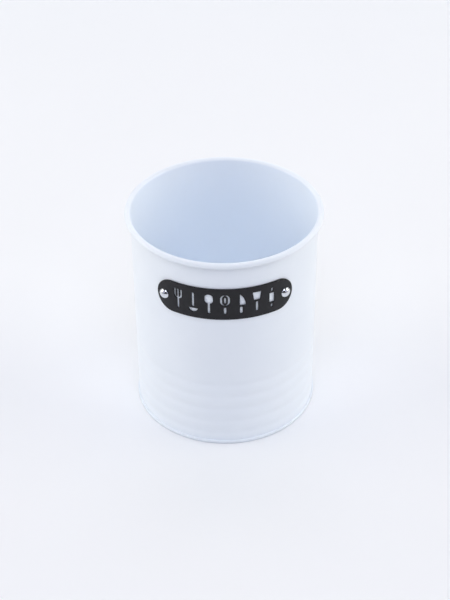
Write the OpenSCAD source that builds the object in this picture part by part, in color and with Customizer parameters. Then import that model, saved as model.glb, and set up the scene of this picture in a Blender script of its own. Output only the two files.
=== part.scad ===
/* [Body] */
// Overall height, from the seam's foot to the top of the rolled rim
height = 150; // [100:1:220]
// Outer radius of the straight wall
wall_r = 61; // [50:0.5:90]
// Thickness of the coated sheet that the wall and the base are made of
sheet_t = 0.3; // [0.25:0.05:0.35]
// Outside diameter of the rolled rim
curl_d = 4; // [3:0.5:6]
// How much of a full turn the rim's edge is rolled through, in degrees
curl_turn = 305; // [250:5:305]

/* [Beads] */
// Number of stiffening beads rolled into the wall
bead_count = 5; // [1:1:6]
// Height of the lowest bead's centre
bead_start = 8.8; // [8.2:0.1:14]
// Distance between bead centres
bead_pitch = 10.4; // [9.5:0.1:14]
// Width of one bead
bead_w = 8.8; // [5:0.1:8.8]
// Depth of one bead
bead_depth = 0.5; // [0.2:0.05:0.7]

/* [Base] */
// Height of the double seam that joins the base to the wall
seam_h = 2.8; // [2.6:0.1:3.4]
// Height of the panel's upper face above the foot
panel_z = 5; // [4.5:0.1:5]
// Radii of the expansion rings pressed into the panel
ring_radii = [24, 38, 50];
// Width of one expansion ring
ring_w = 6; // [4:0.5:8]
// Height of one expansion ring
ring_h = 0.7; // [0.3:0.1:1.5]

/* [Label plate] */
// Length of the plate, along its curved face
label_w = 94; // [90:0.5:98]
// Height of the plate
label_h = 23.5; // [20:0.5:28]
// Thickness of the plate
label_t = 1; // [0.6:0.1:1.5]
// Height of the plate's middle above the foot
label_z = 117.8; // [90:0.1:125]
// Length, along the curved face, that the stencil cuts take up
icons_w = 68; // [50:1:70]
// Height of the tallest stencil cut
icon_h = 15; // [12:0.5:16]

/* [Rivets] */
// Distance between the rivets, along the plate's curved face
rivet_span = 82.5; // [80:0.5:83]
// Diameter of the rivet's shank
rivet_d = 4; // [3.6:0.1:4.2]
// Diameter of the rivet's round head
rivet_head_d = 7; // [6.6:0.1:7.4]
// Height of the head's straight side
rivet_side_h = 0.4; // [0.2:0.05:0.6]
// Height of the head's dome above its side
rivet_dome_h = 2; // [1.5:0.1:2.4]

/* [Hidden] */
$fn = 128;

white = "#e9eef7";
black = "#25262a";
silver = "#c3c7cd";

// Sheet metal that is folded face to face keeps this much air between its faces.
fold_gap = 0.03;
layer = sheet_t + fold_gap;
// Outer radius of the tightest fold, round one more thickness of sheet.
fold_r = layer / 2 + fold_gap / 2 + sheet_t;
// Corners of the outline that cuts a ring down to the arc of a fold.
fold_cut_steps = 8;

// The rolled rim stands outside the wall, flush with its inner face.
curl_r = curl_d / 2;
curl_centre = [wall_r - sheet_t + curl_r, height - curl_r];

// Points along a rounded bead or ring, from one side to the other.
bump_steps = 14;

// The seam's layers, each given by its outer radius, going outward from the wall.
cover_hook_r = wall_r + layer;
body_hook_r = cover_hook_r + layer;
seam_r = body_hook_r + layer;
chuck_r = wall_r - layer;
foot_corner_r = 0.43 * (4 * layer + sheet_t);
panel_corner_r = 1;
// Hooks stop this far short of the fold that they reach into.
hook_clearance = 0.25;

label_inner_r = wall_r + 0.05;
label_outer_r = label_inner_r + label_t;
// The plate's ends are a hair rounder than half its height, so that they cross its long edges.
label_end_r = label_h / 2 + 0.02;
label_end_a = degrees_along(label_w / 2 - label_end_r);
// The tool that rounds an end reaches this far in and out of the plate, whose band goes this far past it.
end_reach = 10;
end_turn = 20;

// The stencil's lines, and the metal left between two cuts of one icon.
icon_stroke = 1.5;
icon_bridge = 0.9;
thin_stroke = icon_stroke * 0.8;
icon_count = 7;
icon_w = 6;
icon_pitch = (icons_w - icon_w) / (icon_count - 1);
icon_base_z = label_z - icon_h / 2;
// Cutting tools start this far short of the metal, and end this far beyond it.
cut_margin = 2;
// Round shapes that are joined reach this far into each other.
overlap = 0.1;

rivet_a = degrees_along(rivet_span / 2);
rivet_hole_d = rivet_d + 0.1;
// The shank's inner end, hammered flat against the wall.
rivet_tail_d = 6;
rivet_tail_h = 1.6;
rivet_tail_edge_r = 0.5;
// The shank's length, from the plate's face to just inside the wall.
rivet_grip = label_outer_r - (wall_r - sheet_t) + 2 * fold_gap;

// The angle that a length along the plate's outer face takes up.
function degrees_along(arc_length) = arc_length / label_outer_r * 180 / PI;

// 1 at the centre of a rounded bump of width w, 0 at its sides.
function bump(offset, w) = (1 + cos(360 * offset / w)) / 2;

// Stations along a strip that has bumps at the centres, as [place, height of bump] pairs.
function bump_stations(centres, w) = [
    for (c = centres)
        for (k = [0 : bump_steps])
            let (offset = w * (k / bump_steps - 0.5)) [c + offset, bump(offset, w)]
];

function reversed(list) = [for (i = [len(list) - 1 : -1 : 0]) list[i]];

// A sheet's section where it bends: an arc of a ring about the origin, from angle a0 to a1.
module fold(r, a0, a1) {
    rest = 360 - a1 + a0;
    difference() {
        circle(r);
        circle(r - sheet_t);
        polygon(concat([[0, 0]], [
            for (k = [0 : fold_cut_steps])
                let (a = a1 + rest * k / fold_cut_steps) 2 * r * [cos(a), sin(a)]
        ]));
    }
}

// A sheet's section where it stands upright, with its outer face at radius r.
module upright(r, z0, z1) {
    translate([r - sheet_t, z0])
        square([sheet_t, z1 - z0]);
}

// The straight wall's section, with its beads rolled inward.
module beaded_wall(z0, z1) {
    centres = [for (i = [0 : bead_count - 1]) bead_start + i * bead_pitch];
    stations = concat([[z0, 0]], bump_stations(centres, bead_w), [[z1, 0]]);
    polygon(concat(
        [for (s = stations) [wall_r - bead_depth * s[1], s[0]]],
        [for (s = reversed(stations)) [wall_r - sheet_t - bead_depth * s[1], s[0]]]
    ));
}

// The wall's sheet: folded out and up at its foot, and rolled outward at its rim.
module body_sheet() {
    hook_z = layer + fold_r;
    translate(curl_centre)
        fold(curl_r, 180 - curl_turn, 180);
    beaded_wall(hook_z, curl_centre[1]);
    translate([(wall_r + cover_hook_r + fold_gap) / 2, hook_z])
        fold(fold_r, 180, 360);
    upright(body_hook_r, hook_z, seam_h - sheet_t - hook_clearance);
}

// The base's sheet: a ringed panel, a wall down to the foot, and the outer half of the seam.
module base_sheet() {
    rings = concat([[0, 0]], bump_stations(ring_radii, ring_w), [[chuck_r - panel_corner_r, 0]]);
    polygon(concat(
        [for (s = rings) [s[0], panel_z - sheet_t + ring_h * s[1]]],
        [for (s = reversed(rings)) [s[0], panel_z + ring_h * s[1]]]
    ));
    translate([chuck_r - panel_corner_r, panel_z - panel_corner_r])
        fold(panel_corner_r, 0, 90);
    upright(chuck_r, foot_corner_r, panel_z - panel_corner_r);
    translate([chuck_r - sheet_t + foot_corner_r, foot_corner_r])
        fold(foot_corner_r, 180, 270);
    translate([chuck_r - sheet_t + foot_corner_r, 0])
        square([seam_r - chuck_r + sheet_t - 2 * foot_corner_r, sheet_t]);
    translate([seam_r - foot_corner_r, foot_corner_r])
        fold(foot_corner_r, 270, 360);
    upright(seam_r, foot_corner_r, seam_h - fold_r);
    translate([seam_r - fold_r, seam_h - fold_r])
        fold(fold_r, 0, 180);
    upright(cover_hook_r, layer + sheet_t + hook_clearance, seam_h - fold_r);
}

// Places a shape, drawn facing up, so that it faces outward at an angle and a height.
module outward(angle, z) {
    rotate([0, 0, angle])
        translate([0, 0, z])
            rotate([90, 0, 0])
                children();
}

// The radial holes that the two rivets pass through.
module rivet_holes() {
    for (side = [-1, 1])
        outward(side * rivet_a, label_z)
            translate([0, 0, wall_r - sheet_t - cut_margin])
                cylinder(d = rivet_hole_d, h = sheet_t + label_t + 2 * cut_margin);
}

// A bar with round ends, of width w, from y0 to y1.
module bar(w, y0, y1) {
    translate([0, y0 + w / 2])
        circle(d = w);
    translate([0, y1 - w / 2])
        circle(d = w);
    translate([-w / 2, y0 + w / 2])
        square([w, y1 - y0 - w]);
}

module handle(y1) {
    bar(icon_stroke, 0, y1);
}

module fork_icon() {
    tine_x = 2.2;
    root_y = icon_h * 0.68;
    root_reach = 1;
    handle(root_y);
    bar(thin_stroke, root_y - tine_x, icon_h);
    difference() {
        union() {
            for (side = [-1, 1])
                translate([side * tine_x, 0])
                    bar(thin_stroke, root_y - root_reach, icon_h);
            translate([0, root_y])
                circle(tine_x + thin_stroke / 2);
        }
        translate([0, root_y])
            circle(tine_x - thin_stroke / 2);
        translate([thin_stroke / 2 - tine_x, root_y])
            square([2 * tine_x - thin_stroke, icon_h]);
    }
}

module spoon_icon() {
    bowl_w = 5.4;
    bowl_y = icon_h * 0.5;
    handle(bowl_y + icon_stroke);
    bar(bowl_w, bowl_y, icon_h);
}

module knife_icon() {
    spine_x = -icon_stroke * 0.6;
    blade_w = 3.8;
    blade_y = icon_h * 0.42;
    blade_h = icon_h - blade_y;
    edge_r = (blade_w ^ 2 + blade_h ^ 2) / (2 * blade_w);
    bar(icon_stroke * 1.2, 0, blade_y - icon_bridge);
    intersection() {
        translate([spine_x, blade_y])
            square([2 * blade_w, 2 * blade_h]);
        translate([spine_x + blade_w - edge_r, blade_y])
            circle(edge_r);
    }
}

module turner_icon() {
    head_y = icon_h * 0.58;
    low_w = 4;
    top_w = 6;
    handle(head_y - icon_bridge);
    polygon([[-low_w / 2, head_y], [low_w / 2, head_y], [top_w / 2, icon_h], [-top_w / 2, icon_h]]);
}

module whisk_icon() {
    loops_y = icon_h * 0.42;
    loops_w = 6.2;
    wire_margin = 2;
    handle(loops_y - icon_bridge);
    difference() {
        bar(loops_w, loops_y, icon_h);
        bar(loops_w - 2 * thin_stroke, loops_y + thin_stroke, icon_h - thin_stroke);
        translate([-icon_bridge / 2, 0])
            square([icon_bridge, icon_h + 1]);
    }
    bar(thin_stroke, loops_y + wire_margin, icon_h - wire_margin);
}

module ladle_icon() {
    bowl_r = 3.1;
    translate([0, bowl_r + icon_bridge])
        bar(icon_stroke, 0, icon_h - bowl_r - icon_bridge);
    intersection() {
        translate([0, bowl_r])
            circle(bowl_r);
        translate([-bowl_r, 0])
            square([2 * bowl_r, bowl_r]);
    }
}

module pin_icon() {
    roller_w = 3.6;
    roller_y = icon_h * 0.25;
    handle(roller_y - icon_bridge);
    translate([-roller_w / 2, roller_y])
        square([roller_w, icon_h - 2 * roller_y]);
    bar(icon_stroke, icon_h - roller_y + icon_bridge, icon_h);
}

module icon(i) {
    if (i == 0) fork_icon();
    if (i == 1) ladle_icon();
    if (i == 2) spoon_icon();
    if (i == 3) whisk_icon();
    if (i == 4) knife_icon();
    if (i == 5) turner_icon();
    if (i == 6) pin_icon();
}

// The stencil cuts, evenly spaced along the plate and each cut square to its face.
module icon_cuts() {
    for (i = [0 : icon_count - 1])
        outward(degrees_along((i - (icon_count - 1) / 2) * icon_pitch), icon_base_z)
            translate([0, 0, label_inner_r - cut_margin])
                linear_extrude(height = label_t + 2 * cut_margin)
                    icon(i);
}

// A band bent round the tin's axis, larger than the plate's own by a margin on every side.
module band(angle, margin) {
    rotate([0, 0, -90 - angle])
        rotate_extrude(angle = 2 * angle)
            translate([label_inner_r - margin, label_z - label_h / 2 - margin])
                square([label_t + 2 * margin, label_h + 2 * margin]);
}

// The plate before it is cut: a long band, trimmed to round ends.
module label_blank() {
    intersection() {
        band(label_end_a + end_turn, 0);
        union() {
            band(label_end_a, cut_margin);
            for (side = [-1, 1])
                outward(side * label_end_a, label_z)
                    translate([0, 0, label_inner_r - end_reach])
                        cylinder(r = label_end_r, h = 2 * end_reach);
        }
    }
}

// The rivet's section, about its own axis, with 0 at the plate's face.
module rivet_section() {
    head_r = rivet_head_d / 2;
    head_h = rivet_side_h + rivet_dome_h;
    dome_r = (head_r ^ 2 + rivet_dome_h ^ 2) / (2 * rivet_dome_h);
    tail_z = -rivet_grip - rivet_tail_h;
    intersection() {
        translate([0, head_h - dome_r])
            circle(dome_r);
        square([head_r, head_h + cut_margin]);
    }
    translate([0, -rivet_grip - overlap])
        square([rivet_d / 2, rivet_grip + 2 * overlap]);
    translate([0, tail_z])
        square([rivet_tail_d / 2 - rivet_tail_edge_r, rivet_tail_h]);
    translate([0, tail_z + rivet_tail_edge_r])
        square([rivet_tail_d / 2, rivet_tail_h - 2 * rivet_tail_edge_r]);
    for (z = [tail_z + rivet_tail_edge_r, -rivet_grip - rivet_tail_edge_r])
        translate([rivet_tail_d / 2 - rivet_tail_edge_r, z])
            circle(rivet_tail_edge_r);
}

module rivet(side) {
    color(silver)
        outward(side * rivet_a, label_z)
            translate([0, 0, label_outer_r])
                rotate_extrude()
                    rivet_section();
}

module body_shell() {
    color(white)
        difference() {
            rotate_extrude()
                body_sheet();
            rivet_holes();
        }
}

module base_panel() {
    color(white)
        rotate_extrude()
            base_sheet();
}

module label_plate() {
    color(black)
        difference() {
            label_blank();
            icon_cuts();
            rivet_holes();
        }
}

module rivet_left() {
    rivet(-1);
}

module rivet_right() {
    rivet(1);
}

body_shell();
base_panel();
label_plate();
rivet_left();
rivet_right();
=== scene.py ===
import math

import bmesh
import bpy
import numpy as np
from mathutils import Matrix, Vector
from mathutils.geometry import delaunay_2d_cdt


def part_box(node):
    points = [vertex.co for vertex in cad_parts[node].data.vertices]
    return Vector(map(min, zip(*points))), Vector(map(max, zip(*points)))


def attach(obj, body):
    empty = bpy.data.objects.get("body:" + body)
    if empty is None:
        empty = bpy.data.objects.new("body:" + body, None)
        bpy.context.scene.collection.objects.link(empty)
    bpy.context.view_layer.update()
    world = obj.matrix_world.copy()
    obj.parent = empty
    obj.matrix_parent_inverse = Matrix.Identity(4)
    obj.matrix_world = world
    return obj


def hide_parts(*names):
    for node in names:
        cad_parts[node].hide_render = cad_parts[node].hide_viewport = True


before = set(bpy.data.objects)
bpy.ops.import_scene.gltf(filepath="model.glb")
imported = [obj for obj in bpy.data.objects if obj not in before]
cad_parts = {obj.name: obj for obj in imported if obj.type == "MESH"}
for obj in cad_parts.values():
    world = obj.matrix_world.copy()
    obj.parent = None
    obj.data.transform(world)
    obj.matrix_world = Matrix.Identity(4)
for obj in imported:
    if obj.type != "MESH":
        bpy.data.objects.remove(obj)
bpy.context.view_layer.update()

# Shapes are worked out in millimetres, and become metres where their meshes are made.
MM = 0.001
TURN = 2 * math.pi


# ---------------------------------------------------------------- sizes, from the frame

def reach(node):
    """How far a CAD node reaches from the cup's axis."""
    return max(math.hypot(v.co.x, v.co.y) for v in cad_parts[node].data.vertices) / MM


SHEET = 0.3                                   # the coated sheet of the wall and the base
FOLD_GAP = 0.03                               # air between sheets folded face to face
LAYER = SHEET + FOLD_GAP
FOLD_R = (LAYER + FOLD_GAP) / 2 + SHEET / 2   # a tight fold, to the middle of its sheet

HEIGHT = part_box("body_shell")[1].z / MM
RIM_R = reach("body_shell")
CURL_R = 2.0
WALL_R = RIM_R - 2 * CURL_R + SHEET
MID_R = WALL_R - SHEET / 2                    # the middle of the wall's sheet

SEAM_R = reach("base_panel")
SEAM_H = 2.8
PANEL_Z = 5.0
PANEL_CORNER_R = 1.0
FOOT_CORNER_R = 0.43 * (4 * LAYER + SHEET)
HOOK_CLEARANCE = 0.25

BEAD_COUNT = 5
BEAD_START = 8.8
BEAD_PITCH = 10.4
BEAD_W = 8.8
BEAD_DEPTH = 0.5
RING_RADII = (24, 38, 50)
RING_W = 6.0
RING_H = 0.7

PLATE_R = reach("label_plate")
PLATE_T = 1.0
PLATE_LOW, PLATE_HIGH = (corner.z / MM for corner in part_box("label_plate"))
PLATE_H = PLATE_HIGH - PLATE_LOW
PLATE_Z = (PLATE_LOW + PLATE_HIGH) / 2
PLATE_W = 2 * PLATE_R * math.asin(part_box("label_plate")[1].x / MM / PLATE_R)
PLATE_EDGE = 0.16                             # the coat's rounding along every cut edge

ICON_H = 15.0
ICON_SPAN = 62.0
STROKE = 1.5
BRIDGE = 0.9

RIVET_SPAN = 82.5                             # between the rivets, along the bent plate
RIVET_ANGLE = RIVET_SPAN / 2 / PLATE_R
RIVET_HEAD_R = 3.5
RIVET_HEAD_EDGE = 0.12                        # the soft rounding of the head's rim
RIVET_SIDE_H = 0.4
RIVET_DOME_H = 2.0
RIVET_SHANK_R = 2.0
RIVET_GRIP = PLATE_R - (WALL_R - SHEET) + 2 * FOLD_GAP
RIVET_TAIL_R = 3.0
RIVET_TAIL_H = 1.6
RIVET_TAIL_EDGE = 0.5
HOLE_GAP = 0.05
HOLE_R = RIVET_SHANK_R + HOLE_GAP


# ---------------------------------------------------------------- outlines

def arc(cx, cy, r, start, end, steps):
    """Points along an arc from start to end, in degrees, both ends included."""
    turns = [math.radians(start + (end - start) * i / steps) for i in range(steps + 1)]
    return [(cx + r * math.cos(a), cy + r * math.sin(a)) for a in turns]


def without_repeats(points):
    kept = [points[0]]
    for p in points[1:]:
        if math.dist(p, kept[-1]) > 1e-4:
            kept.append(p)
    return kept


def dense(points, longest):
    """The same line with points added, so that no step is longer than longest."""
    out = [points[0]]
    for a, b in zip(points, points[1:]):
        steps = max(1, math.ceil(math.dist(a, b) / longest))
        out += [(a[0] + (b[0] - a[0]) * i / steps, a[1] + (b[1] - a[1]) * i / steps)
                for i in range(1, steps + 1)]
    return out


def bumps(centres, width, steps=16):
    """(place, height from 0 to 1) along a strip with a rounded bump at each centre."""
    for centre in centres:
        for i in range(steps + 1):
            offset = width * (i / steps - 0.5)
            yield centre + offset, (1 + math.cos(TURN * offset / width)) / 2


def sheet_outline(path, thickness, cap_steps=4):
    """The closed outline of a sheet whose middle follows path, and the side that each point is on.

    The side is 1 on the left, -1 on the right and 0 on an end."""
    points = np.array(without_repeats(path))
    along = np.gradient(points, axis=0)
    along /= np.linalg.norm(along, axis=1)[:, None]
    left = np.stack([-along[:, 1], along[:, 0]], 1) * thickness / 2
    outline, side = [], []

    def add(new, mark):
        outline.extend(tuple(p) for p in new)
        side.extend([mark] * len(new))

    def cap(centre, normal, forward):
        turns = [math.pi * i / cap_steps for i in range(1, cap_steps)]
        return [centre + normal * math.cos(a) + forward * math.sin(a) for a in turns]

    add(points + left, 1)
    add(cap(points[-1], left[-1], along[-1] * thickness / 2), 0)
    add((points - left)[::-1], -1)
    add(cap(points[0], -left[0], -along[0] * thickness / 2), 0)
    return outline, side


def bar(w, y0, y1, x=0.0, steps=12):
    """A bar with round ends, anticlockwise."""
    r = w / 2
    return arc(x, y0 + r, r, 180, 360, steps) + arc(x, y1 - r, r, 0, 180, steps)


def mirrored(loop):
    """The loop's mirror image in x, still anticlockwise."""
    return [(-x, y) for x, y in reversed(loop)]


# ---------------------------------------------------------------- meshes

def new_object(name, vertices, faces, sharp=40):
    """A smooth-shaded object, from vertices in millimetres."""
    mesh = bpy.data.meshes.new(name)
    mesh.from_pydata([tuple(c * MM for c in v) for v in vertices], [], faces)
    built = bmesh.new()
    built.from_mesh(mesh)
    bmesh.ops.remove_doubles(built, verts=built.verts, dist=1e-3 * MM)
    bmesh.ops.dissolve_degenerate(built, edges=built.edges, dist=1e-4 * MM)
    bmesh.ops.recalc_face_normals(built, faces=built.faces)
    built.to_mesh(mesh)
    built.free()
    mesh.polygons.foreach_set("use_smooth", [True] * len(mesh.polygons))
    mesh.set_sharp_from_angle(angle=math.radians(sharp))
    thing = bpy.data.objects.new(name, mesh)
    bpy.context.scene.collection.objects.link(thing)
    return thing


def turned(name, outline, angles, place=None, sharp=40):
    """A closed outline of (radius, height) points, turned about the axis.

    place(angle, radius, height, i) may move point i of the outline."""
    vertices = []
    for a in angles:
        for i, (r, z) in enumerate(outline):
            if place:
                r, z = place(a, r, z, i)
            vertices.append((r * math.sin(a), -r * math.cos(a), z))
    n = len(outline)
    rings = len(angles)
    faces = []
    for k in range(rings):
        here, following = k * n, (k + 1) % rings * n
        for i in range(n):
            j = (i + 1) % n
            faces.append((here + i, here + j, following + j, following + i))
    return new_object(name, vertices, faces, sharp)


def even_angles(count):
    return [TURN * i / count for i in range(count)]


def finish_piece(thing, material, slot, *nodes):
    """Gives a piece its material, and puts it in the place of its CAD nodes."""
    thing.data.materials.clear()
    thing.data.materials.append(material)
    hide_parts(*nodes)
    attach(thing, "root")


def applied(thing):
    """Bakes a piece's modifiers into its own mesh."""
    bpy.context.view_layer.update()
    depsgraph = bpy.context.evaluated_depsgraph_get()
    mesh = bpy.data.meshes.new_from_object(thing.evaluated_get(depsgraph))
    thing.modifiers.clear()
    thing.data = mesh


# ---------------------------------------------------------------- the sheet-metal body

BACK = math.pi
LAP_W = 1.3            # the welded side seam, down the back
LAP_H = 0.11
LAP_MARGIN = 3         # how far to each side of the seam the wall has closer points
LAP_STEPS = 15

WALL_TURNS = 420
BASE_TURNS = 360
RIVET_TURNS = 96
DRILL_TURNS = 48
FLOOR_TURNS = 96


def body_angles():
    """Even steps all round, with closer ones across the side seam."""
    even = [a for a in even_angles(WALL_TURNS) if abs(a - BACK) * WALL_R > LAP_MARGIN]
    close = [BACK + LAP_MARGIN / WALL_R * i / LAP_STEPS for i in range(-LAP_STEPS, LAP_STEPS + 1)]
    return sorted(even + close)


def out_of_round(angle, z):
    """How far rolled sheet strays from a true circle: a few hundredths of a millimetre."""
    up = z / HEIGHT
    return (0.030 * math.sin(2 * angle + 0.6) + 0.022 * math.sin(3 * angle + 2.2 * up)
            + 0.012 * math.sin(7 * angle - 4.0 * up + 1.1) + 0.006 * math.sin(13 * angle + 9.0 * up))


def wall_path():
    """The middle of the wall's sheet, from the end of its seam hook to the end of its curl."""
    hook_z = LAYER + FOLD_R + SHEET / 2
    hook_r = MID_R + 2 * FOLD_R
    hook_end = SEAM_H - SHEET - HOOK_CLEARANCE
    centres = [BEAD_START + i * BEAD_PITCH for i in range(BEAD_COUNT)]
    beads = [(MID_R - BEAD_DEPTH * h, z) for z, h in bumps(centres, BEAD_W)]
    rim_z = HEIGHT - CURL_R
    path = dense([(hook_r, hook_end), (hook_r, hook_z)], 0.5)
    path += arc(MID_R + FOLD_R, hook_z, FOLD_R, 360, 180, 10)
    path += beads
    path += dense([beads[-1], (MID_R, rim_z)], 4)
    path += arc(MID_R + CURL_R - SHEET / 2, rim_z, CURL_R - SHEET / 2, 180, -125, 44)
    return path


def make_wall():
    outline, side = sheet_outline(wall_path(), SHEET)

    def place(angle, r, z, i):
        r += out_of_round(angle, z)
        across = (angle - BACK) * WALL_R / (LAP_W / 2)
        plain = SEAM_H + 0.6 < z < HEIGHT - 2 * CURL_R
        if side[i] == -1 and plain and abs(across) < 3:
            r += LAP_H * math.exp(-across ** 4) * (1 + 0.15 * math.sin(2.1 * z))
        return r, z

    wall = turned("wall_sheet", outline, body_angles(), place)
    for sign in (-1, 1):
        drill = drill_for_rivet(sign)
        cut = wall.modifiers.new("rivet_hole", "BOOLEAN")
        cut.object = drill
        cut.solver = "EXACT"
        applied(wall)
        bpy.data.objects.remove(drill)
    wall.data.set_sharp_from_angle(angle=math.radians(40))
    return wall


def outward(angle, z, distance):
    """The place of something that faces out of the wall: its own +Z is outward, and its +Y up."""
    return (Matrix.Rotation(angle, 4, "Z") @ Matrix.Translation((0, 0, z * MM))
            @ Matrix.Rotation(math.pi / 2, 4, "X") @ Matrix.Translation((0, 0, distance * MM)))


DRILL_REACH = 4        # to each side of the wall


def drill_for_rivet(sign):
    outline = [(0, -DRILL_REACH), (HOLE_R, -DRILL_REACH), (HOLE_R, DRILL_REACH), (0, DRILL_REACH)]
    drill = turned("drill", outline, even_angles(DRILL_TURNS))
    drill.data.transform(outward(sign * RIVET_ANGLE, PLATE_Z, WALL_R))
    return drill


def base_path():
    """The middle of the base's sheet, from the panel's centre to the end of its cover hook."""
    chuck_r = MID_R - LAYER
    seam_r = SEAM_R - SHEET / 2
    panel_z = PANEL_Z - SHEET / 2
    panel_bend = PANEL_CORNER_R - SHEET / 2
    foot_bend = FOOT_CORNER_R - SHEET / 2
    fold_z = SEAM_H - FOLD_R - SHEET / 2
    path = dense([(0, panel_z), (RING_RADII[0] - RING_W / 2, panel_z)], 2)
    path += [(r, panel_z + RING_H * h) for r, h in bumps(RING_RADII, RING_W)]
    path += arc(chuck_r - panel_bend, panel_z - panel_bend, panel_bend, 90, 0, 10)
    path += dense([(chuck_r, panel_z - panel_bend), (chuck_r, FOOT_CORNER_R)], 0.8)
    path += arc(chuck_r + foot_bend, FOOT_CORNER_R, foot_bend, 180, 270, 8)
    path += arc(seam_r - foot_bend, FOOT_CORNER_R, foot_bend, 270, 360, 8)
    path += dense([(seam_r, FOOT_CORNER_R), (seam_r, fold_z)], 0.5)
    path += arc(seam_r - FOLD_R, fold_z, FOLD_R, 0, 180, 12)
    path += dense([(seam_r - 2 * FOLD_R, fold_z), (seam_r - 2 * FOLD_R, LAYER + SHEET + HOOK_CLEARANCE)], 0.5)
    return path


def make_base():
    outline, _ = sheet_outline(base_path(), SHEET)

    def place(angle, r, z, i):
        share = min(1.0, r / MID_R)
        return r + share * out_of_round(angle, z), z

    return turned("base_sheet", outline, even_angles(BASE_TURNS), place)


# ---------------------------------------------------------------- the stencil plate

def side_angle(x, r):
    """The angle, in degrees, at which a circle of radius r about the icon's middle line is at x."""
    return math.degrees(math.acos(x / r))


def fork():
    tine_x, tine = 2.2, STROKE * 0.4
    root_y = ICON_H * 0.68
    outer, inner = tine_x + tine, tine_x - tine
    top = ICON_H - tine
    shoulder = side_angle(STROKE / 2, outer)
    crotch = side_angle(tine, inner)
    half = arc(0, root_y, outer, -shoulder, 0, 8)
    half += arc(tine_x, top, tine, 0, 180, 8)
    half += arc(0, root_y, inner, 0, -crotch, 8)
    middle = arc(0, top, tine, 0, 180, 8)
    return [arc(0, STROKE / 2, STROKE / 2, 180, 360, 10) + half + middle + mirrored(half)]


def ladle():
    bowl_r = 3.1
    return [bar(STROKE, bowl_r + BRIDGE, ICON_H), arc(0, bowl_r, bowl_r, 180, 360, 24)]


def spoon():
    bowl_r, bowl_y = 2.7, ICON_H * 0.5
    shoulder = side_angle(STROKE / 2, bowl_r)
    return [arc(0, STROKE / 2, STROKE / 2, 180, 360, 10)
            + arc(0, bowl_y + bowl_r, bowl_r, -shoulder, 0, 10)
            + arc(0, ICON_H - bowl_r, bowl_r, 0, 180, 24)
            + arc(0, bowl_y + bowl_r, bowl_r, 180, 180 + shoulder, 10)]


def whisk():
    low, outer, wire = ICON_H * 0.42, 3.1, STROKE * 0.8
    inner = outer - wire
    out_a, in_a = side_angle(BRIDGE / 2, outer), side_angle(BRIDGE / 2, inner)
    loop = (arc(0, low + outer, outer, -out_a, 0, 12) + arc(0, ICON_H - outer, outer, 0, out_a, 12)
            + arc(0, ICON_H - outer, inner, in_a, 0, 12) + arc(0, low + outer, inner, 0, -in_a, 12))
    return [bar(STROKE, 0, low - BRIDGE), loop, mirrored(loop), bar(wire, low + 2, ICON_H - 2)]


def knife():
    spine, blade_w, blade_y = -STROKE * 0.6, 3.8, ICON_H * 0.42
    blade_h = ICON_H - blade_y
    edge_r = (blade_w ** 2 + blade_h ** 2) / (2 * blade_w)
    tip = math.degrees(math.asin(blade_h / edge_r))
    blade = [(spine, blade_y)] + arc(spine + blade_w - edge_r, blade_y, edge_r, 0, tip, 16)
    return [bar(STROKE * 1.2, 0, blade_y - BRIDGE), blade]


def turner():
    low = ICON_H * 0.58
    neck_x, tip_x = 2, 3
    head = [(-neck_x, low), (neck_x, low), (tip_x, ICON_H), (-tip_x, ICON_H)]
    return [bar(STROKE, 0, low - BRIDGE), head]


def rolling_pin():
    low = ICON_H * 0.25
    side_x = 1.8
    roller = [(-side_x, low), (side_x, low), (side_x, ICON_H - low), (-side_x, ICON_H - low)]
    return [bar(STROKE, 0, low - BRIDGE), roller, bar(STROKE, ICON_H - low + BRIDGE, ICON_H)]


ICONS = (fork, ladle, spoon, whisk, knife, turner, rolling_pin)


def plate_loops():
    """The plate's outlines, laid flat about its middle, each with the metal on its left."""
    end_r = PLATE_H / 2
    end_x = PLATE_W / 2 - end_r
    loops = [arc(end_x, 0, end_r, -90, 90, 48) + arc(-end_x, 0, end_r, 90, 270, 48)]
    for i, icon in enumerate(ICONS):
        x = ICON_SPAN * (i / (len(ICONS) - 1) - 0.5)
        for loop in icon():
            loops.append([(x + px, py - ICON_H / 2) for px, py in reversed(loop)])
    for sign in (-1, 1):
        hole = arc(sign * RIVET_ANGLE * PLATE_R, 0, HOLE_R, 0, 360, 40)
        loops.append(hole[::-1])
    closed = []
    for loop in loops:
        ring = without_repeats(dense(loop + loop[:1], 0.7))
        closed.append(np.array(ring[:-1] if math.dist(ring[0], ring[-1]) < 1e-3 else ring))
    return closed


def moved_in(loop, distance):
    """A closed outline moved into the metal on its left."""
    ahead = np.roll(loop, -1, 0) - loop
    ahead /= np.linalg.norm(ahead, axis=1)[:, None]
    normal = np.stack([-ahead[:, 1], ahead[:, 0]], 1)
    before = np.roll(normal, 1, 0)
    scale = 1 + (normal * before).sum(1)
    return loop + distance * (normal + before) / scale[:, None]


def inside(points, loop):
    """Which points a closed outline goes round."""
    x, y = points[:, 0], points[:, 1]
    hit = np.zeros(len(points), bool)
    for (x1, y1), (x2, y2) in zip(loop, np.roll(loop, -1, 0)):
        if y1 != y2:
            hit ^= ((y1 > y) != (y2 > y)) & (x < (x2 - x1) * (y - y1) / (y2 - y1) + x1)
    return hit


def in_metal(points, loops):
    """Which points lie inside the first outline and outside the others."""
    found = inside(points, loops[0])
    for loop in loops[1:]:
        found &= ~inside(points, loop)
    return found


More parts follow.
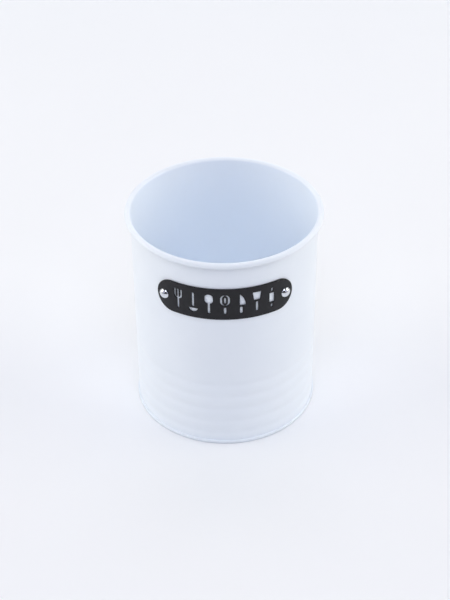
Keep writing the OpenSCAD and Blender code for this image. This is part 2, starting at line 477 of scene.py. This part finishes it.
def fill(loops, spacing=1.1):
    """Triangles that fill the metal between outlines, with a grid of points so that it can bend."""
    corners = np.concatenate(loops)
    low, high = corners.min(0), corners.max(0)
    grid = np.stack(np.meshgrid(np.arange(low[0], high[0], spacing),
                                np.arange(low[1], high[1], spacing)), -1).reshape(-1, 2)
    grid = grid[in_metal(grid, loops)]
    far = np.array([np.min(np.hypot(*(corners - p).T)) > spacing / 2 for p in grid])
    points = np.concatenate([corners, grid[far]])
    edges = []
    for loop in loops:
        first = len(edges)
        edges += [(first + i, first + (i + 1) % len(loop)) for i in range(len(loop))]
    out, _, triangles, _, _, _ = delaunay_2d_cdt([Vector(p) for p in points], edges, [], 0, 1e-5)
    flat = np.array([tuple(v) for v in out])
    centres = np.array([flat[t].mean(0) for t in triangles])
    kept = in_metal(centres, loops)
    return flat, [t for t, keep in zip(triangles, kept) if keep]


def make_plate():
    """The plate is built flat, with rounded edges, and then bent to the wall."""
    loops = plate_loops()
    steps = 4
    quarter = [math.pi / 2 * i / steps for i in range(steps + 1)]
    edge = [(PLATE_EDGE * (1 - math.sin(a)), PLATE_EDGE * (1 - math.cos(a))) for a in quarter]
    levels = [(move, -down) for move, down in edge]
    levels += [(move, down - PLATE_T) for move, down in reversed(edge)]
    vertices, faces = [], []
    for loop in loops:
        first = len(vertices)
        n = len(loop)
        for move, depth in levels:
            vertices += [(x, y, depth) for x, y in moved_in(loop, move)]
        for k in range(len(levels) - 1):
            here, below = first + k * n, first + (k + 1) * n
            faces += [(here + i, below + i, below + (i + 1) % n, here + (i + 1) % n) for i in range(n)]
    flat, triangles = fill([moved_in(loop, PLATE_EDGE) for loop in loops])
    for depth, order in ((0, 1), (-PLATE_T, -1)):
        first = len(vertices)
        vertices += [(x, y, depth) for x, y in flat]
        faces += [tuple(first + i for i in t[::order]) for t in triangles]
    bent = []
    for x, y, depth in vertices:
        angle, r = x / PLATE_R, PLATE_R + depth
        bent.append((r * math.sin(angle), -r * math.cos(angle), PLATE_Z + y))
    plate = new_object("stencil_plate", bent, faces, sharp=50)
    plate.modifiers.new("even_faces", "WEIGHTED_NORMAL").keep_sharp = True
    return plate


# ---------------------------------------------------------------- rivets

def rivet_outline():
    """Half of a set round-head rivet's section, about its own axis, with 0 at the plate's face."""
    edge = RIVET_HEAD_EDGE
    dome_r = (RIVET_HEAD_R ** 2 + RIVET_DOME_H ** 2) / (2 * RIVET_DOME_H)
    dome_z = RIVET_SIDE_H + RIVET_DOME_H - dome_r
    dome_a = math.degrees(math.acos((RIVET_HEAD_R - edge) / dome_r))
    tail_z = -RIVET_GRIP - RIVET_TAIL_H
    tail_x = RIVET_TAIL_R - RIVET_TAIL_EDGE
    outline = arc(0, dome_z, dome_r, 90, dome_a, 24)
    outline += arc(RIVET_HEAD_R - edge, edge, edge, 0, -90, 5)
    outline += [(RIVET_SHANK_R, 0), (RIVET_SHANK_R, -RIVET_GRIP)]
    outline += arc(tail_x, -RIVET_GRIP - RIVET_TAIL_EDGE, RIVET_TAIL_EDGE, 90, 0, 8)
    outline += arc(tail_x, tail_z + RIVET_TAIL_EDGE, RIVET_TAIL_EDGE, 0, -90, 8)
    return without_repeats(outline + [(0, tail_z)])


DENT_DEPTH = 0.035
LOCAL_PLACE = "turned"     # the attribute that holds a turned piece's own coordinates


def hammered(outline):
    """Dents the tail's end, inside the cup, as the blows that set it leave it."""
    low = min(z for _, z in outline)

    def place(angle, r, z, i):
        if z < low + RIVET_TAIL_EDGE / 2 and r > 0:
            z += DENT_DEPTH * (1 + math.sin(3 * angle + 1.4 * r) * math.cos(2 * angle - 0.8 * r))
        return r, z

    return place


def mark_local(thing):
    """Keeps a turned piece's own coordinates, in metres, for its material."""
    own = thing.data.attributes.new(LOCAL_PLACE, "FLOAT_VECTOR", "POINT")
    own.data.foreach_set("vector", [c for v in thing.data.vertices for c in v.co])


def make_rivet(name, sign):
    outline = dense(rivet_outline(), 0.4)
    rivet = turned(name, outline, even_angles(RIVET_TURNS), hammered(outline), sharp=50)
    mark_local(rivet)
    rivet.data.transform(outward(sign * RIVET_ANGLE, PLATE_Z, PLATE_R))
    return rivet


# ---------------------------------------------------------------- materials

class Shader:
    """A node material, built a node at a time."""

    def __init__(self, name, **settings):
        self.material = bpy.data.materials.new(name)
        self.material.use_nodes = True
        self.tree = self.material.node_tree
        self.surface = self.tree.nodes["Principled BSDF"]
        self.put(self.surface, settings)

    def put(self, node, settings):
        for key, value in settings.items():
            socket = node.inputs[key]
            if isinstance(value, bpy.types.NodeSocket):
                self.tree.links.new(value, socket)
            else:
                socket.default_value = value

    def node(self, kind, settings=None, out=0, **properties):
        made = self.tree.nodes.new("ShaderNode" + kind)
        for key, value in properties.items():
            setattr(made, key, value)
        self.put(made, settings or {})
        return made.outputs[out]

    def place(self):
        return self.node("TexCoord", out="Object")

    def noise(self, scale, detail=3.0, roughness=0.5, vector=None, distortion=0.0):
        settings = {"Scale": scale, "Detail": detail, "Roughness": roughness, "Distortion": distortion,
                    "Vector": vector or self.place()}
        return self.node("TexNoise", settings, out="Fac")

    def spread(self, value, low, high, to_low=0.0, to_high=1.0):
        """Maps a range of values to another, and holds it there."""
        settings = {"Value": value, "From Min": low, "From Max": high, "To Min": to_low, "To Max": to_high}
        return self.node("MapRange", settings)

    def math(self, operation, a, b):
        return self.node("Math", {0: a, 1: b}, operation=operation)

    def blend(self, share, a, b):
        made = self.tree.nodes.new("ShaderNodeMix")
        made.data_type = "RGBA"
        self.put(made, {"Factor": share})
        for socket, value in ((made.inputs[6], a), (made.inputs[7], b)):
            if isinstance(value, bpy.types.NodeSocket):
                self.tree.links.new(value, socket)
            else:
                socket.default_value = (*value, 1)
        return made.outputs[2]

    def bump(self, height, distance, strength=1.0, under=None):
        settings = {"Height": height, "Distance": distance, "Strength": strength}
        if under:
            settings["Normal"] = under
        return self.node("Bump", settings)


def white_coat():
    """Satin white powder coat, with orange peel, slightly uneven gloss and tone, and painted contact shade at
    the foot.
    """
    s = Shader("white_coat")
    shade = s.spread(s.noise(22, 4, 0.6), 0.3, 0.7)
    colour = s.blend(shade, (0.864, 0.916, 0.972), (0.886, 0.934, 0.986))
    height = s.node("SeparateXYZ", {"Vector": s.place()}, out="Z")
    # Painted shade: a grey-blue band, darkest below 0.6 mm and gone by 1.7 mm above the floor, broken up by
    # noise, stands in for the contact shadow under the seam's foot.
    low = s.spread(height, 0.0017, 0.0006)
    painted_foot_shade = s.math("MULTIPLY", low, s.spread(s.noise(260, 4, 0.7), 0.25, 0.75, 0.25, 0.55))
    colour = s.blend(painted_foot_shade, colour, (0.42, 0.44, 0.49))
    wiped = s.noise(55, 5, 0.62, distortion=0.6)
    peel = s.bump(s.noise(620, 2, 0.45), 0.00003, 0.5)
    grain = s.bump(s.noise(3200, 2, 0.5), 0.000006, 0.5, peel)
    s.put(s.surface, {"Base Color": colour, "Roughness": s.spread(wiped, 0.3, 0.7, 0.34, 0.43),
                      "Normal": grain})
    return s.material


def black_coat():
    """Fine-textured black powder coat, a little rubbed and dusty."""
    s = Shader("black_coat")
    mottle = s.spread(s.noise(260, 4, 0.6), 0.32, 0.68)
    colour = s.blend(mottle, (0.006, 0.006, 0.008), (0.011, 0.011, 0.014))
    dust = s.spread(s.noise(5200, 2, 0.5), 0.66, 0.74, 0.0, 0.2)
    colour = s.blend(dust, colour, (0.11, 0.115, 0.13))
    texture = s.bump(s.noise(2100, 3, 0.6), 0.00004, 0.6)
    s.put(s.surface, {"Base Color": colour, "Roughness": s.spread(s.noise(90, 4), 0.3, 0.7, 0.40, 0.50),
                      "Normal": texture, "Specular IOR Level": 0.3})
    return s.material


def rivet_metal():
    """Bright pressed metal, with faint rings left by the die and fine pits."""
    s = Shader("rivet_metal", Metallic=1.0)
    own = s.node("Attribute", attribute_name=LOCAL_PLACE, out="Vector")
    radius = s.node("VectorMath", {0: s.node("VectorMath", {0: own, 1: (1, 1, 0)}, operation="MULTIPLY")},
                    out="Value", operation="LENGTH")
    rings = s.node("TexNoise", {"W": radius, "Scale": 5200, "Detail": 2}, out="Fac", noise_dimensions="1D")
    pits = s.noise(1500, 4, 0.65, vector=own)
    colour = s.blend(s.spread(pits, 0.3, 0.7), (0.66, 0.68, 0.72), (0.76, 0.78, 0.82))
    normal = s.bump(rings, 0.000008, 0.4)
    normal = s.bump(pits, 0.000012, 0.3, normal)
    s.put(s.surface, {"Base Color": colour, "Roughness": s.spread(pits, 0.3, 0.7, 0.12, 0.24),
                      "Normal": normal})
    return s.material


def studio_floor():
    """Pale matt board with a barely visible tooth."""
    s = Shader("studio_floor")
    tone = s.spread(s.noise(3, 3), 0.3, 0.7)
    s.put(s.surface, {"Base Color": s.blend(tone, (0.885, 0.897, 0.912), (0.897, 0.909, 0.924)),
                      "Roughness": s.spread(s.noise(14, 3), 0.3, 0.7, 0.8, 0.9),
                      "Normal": s.bump(s.noise(700, 2), 0.00004, 0.3)})
    return s.material


# ---------------------------------------------------------------- stage, lights and camera

FLOOR_R = 1500        # no larger than the soft boxes light evenly
FLOOR_T = 12


def make_floor():
    outline = [(0, 0), (FLOOR_R, 0), (FLOOR_R, -FLOOR_T), (0, -FLOOR_T)]
    floor = turned("floor", outline, even_angles(FLOOR_TURNS))
    floor.data.materials.append(studio_floor())


COOL = (0.86, 0.89, 1.0)
WARM = (1.0, 0.97, 0.9)
ROSE = (1.0, 0.89, 0.89)
SKY = (0.5, 0.77, 1.0)
PALE = (0.92, 0.96, 1.0)
VIOLET = (0.8, 0.81, 1.0)

# Each row: name, bearings in degrees from the front, distance, height and size in metres, watts, colour.
SOFT_BOXES = (
    ("top_front", (0,), 1.0, 1.7, 1.2, 17, COOL),
    ("top_back", (180,), 1.1, 1.5, 1.4, 8, ROSE),
    ("side", (-90, 90), 1.6, 0.8, 1.3, 14.5, WARM),
    ("back", (180,), 1.8, 0.6, 1.2, 4.5, SKY),
    ("back_corner", (-135, 135), 1.85, 0.9, 1.2, 8.3, PALE),
    ("front_corner", (-45, 45), 1.85, 0.9, 1.2, 3.7, VIOLET),
)


LIGHT_AIM_Z = 0.08      # in metres, near the middle of the cup


def soft_light(name, place, size, power, colour):
    """A square soft box that faces the cup, and is not itself seen."""
    lamp = bpy.data.lights.new(name, "AREA")
    lamp.shape = "SQUARE"
    lamp.size = size
    lamp.energy = power
    lamp.color = colour
    light = bpy.data.objects.new(name, lamp)
    light.location = place
    light.rotation_euler = (Vector((0, 0, LIGHT_AIM_Z)) - Vector(place)).to_track_quat("-Z", "Y").to_euler()
    light.visible_camera = False
    bpy.context.scene.collection.objects.link(light)


def make_studio():
    """Soft boxes, and a pale backdrop that lights nothing."""
    for name, bearings, distance, height, size, power, colour in SOFT_BOXES:
        for bearing in bearings:
            turn = math.radians(bearing)
            place = (distance * math.sin(turn), -distance * math.cos(turn), height)
            soft_light("%s_%d" % (name, bearing), place, size, power, colour)
    world = bpy.data.worlds.new("studio")
    world.use_nodes = True
    nodes, links = world.node_tree.nodes, world.node_tree.links
    seen = nodes.new("ShaderNodeLightPath").outputs["Is Camera Ray"]
    backdrop = nodes["Background"]
    backdrop.inputs["Color"].default_value = (0.905, 0.92, 0.965, 1)
    links.new(seen, backdrop.inputs["Strength"])
    scene = bpy.context.scene
    scene.world = world
    scene.view_settings.view_transform = "Standard"
    # Inside a deep white cup, light goes on bouncing for longer than the usual limit.
    scene.cycles.diffuse_bounces = 10


CAMERA_PITCH = 36.92          # degrees below the horizon
CAMERA_ROLL = 0.55            # degrees, which lean the cup's top to the left
CAMERA_DISTANCE = 953.3       # from the point on the cup's axis that it looks at
CAMERA_AIM_Z = 75.2
SENSOR_W = 36                 # along the picture's long side
FOCAL_LENGTH = 84.2


def make_camera():
    data = bpy.data.cameras.new("camera")
    data.sensor_width = SENSOR_W
    data.lens = FOCAL_LENGTH
    data.clip_start = 0.01
    data.clip_end = 20
    pitch = math.radians(CAMERA_PITCH)
    camera = bpy.data.objects.new("camera", data)
    turn = Matrix.Rotation(math.pi / 2 - pitch, 4, "X") @ Matrix.Rotation(-math.radians(CAMERA_ROLL), 4, "Z")
    place = Vector((0, -math.cos(pitch), math.sin(pitch))) * CAMERA_DISTANCE + Vector((0, 0, CAMERA_AIM_Z))
    camera.matrix_world = Matrix.Translation(place * MM) @ turn
    bpy.context.scene.collection.objects.link(camera)
    bpy.context.scene.camera = camera


# ---------------------------------------------------------------- the whole

def make_cup():
    white, black, bright = white_coat(), black_coat(), rivet_metal()
    finish_piece(make_wall(), white, "white_coat", "body_shell")
    finish_piece(make_base(), white, "white_coat", "base_panel")
    finish_piece(make_plate(), black, "black_coat", "label_plate")
    for side, sign in (("left", -1), ("right", 1)):
        finish_piece(make_rivet("rivet_%s_set" % side, sign), bright, "rivet_metal", "rivet_" + side)


make_camera()
make_cup()
make_floor()
make_studio()
